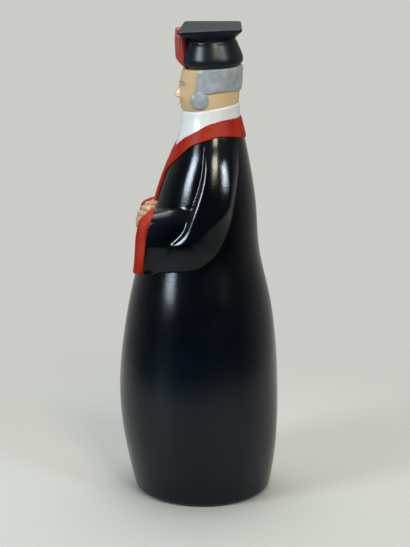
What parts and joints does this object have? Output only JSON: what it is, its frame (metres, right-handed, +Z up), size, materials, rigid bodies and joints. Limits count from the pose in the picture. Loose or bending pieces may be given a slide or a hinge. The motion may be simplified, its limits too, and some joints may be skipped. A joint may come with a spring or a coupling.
{
  "type": "figural liquor decanter",
  "caption": "Upright figure-shaped ceramic liquor decanter in a long dark robe; the square cap lifts off as a corked stopper.",
  "frame": {"origin": "under the middle of the skirt, on the surface that the decanter stands on", "axes": "+Z up, the figure faces -Y, its left side towards +X"},
  "size_m": [0.097, 0.0915, 0.2701],
  "materials": {
    "robe_glaze": "glossy blue-black glaze",
    "white_glaze": "glossy white glaze",
    "skin_glaze": "glossy flesh glaze",
    "hair_glaze": "glossy grey glaze",
    "red_enamel": "glossy orange-red enamel",
    "left_cuff_enamel": "glossy orange-red enamel",
    "right_cuff_enamel": "glossy orange-red enamel",
    "hand_glaze": "glossy flesh glaze",
    "cap_glaze": "glossy blue-black glaze",
    "tassel_enamel": "glossy crimson enamel",
    "biscuit_clay": "unglazed fired clay",
    "cork": "natural cork"
  },
  "bodies": {
    "bottle": {"robe_shell": "robe_glaze", "collar": "white_glaze", "head_shell": "skin_glaze", "hair": "hair_glaze", "stole": "red_enamel", "left_cuff": "left_cuff_enamel", "right_cuff": "right_cuff_enamel", "hands": "hand_glaze"},
    "stopper": {"cap": "cap_glaze", "tassel": "tassel_enamel", "stopper_plug": "biscuit_clay", "cork_sleeve": "cork"}
  },
  "joints": [
    {"name": "stopper_lift", "type": "slide", "parent": "bottle", "child": "stopper", "axis": [0, -0.0523, 0.9986], "range_m": [0, 0.06]}
  ]
}
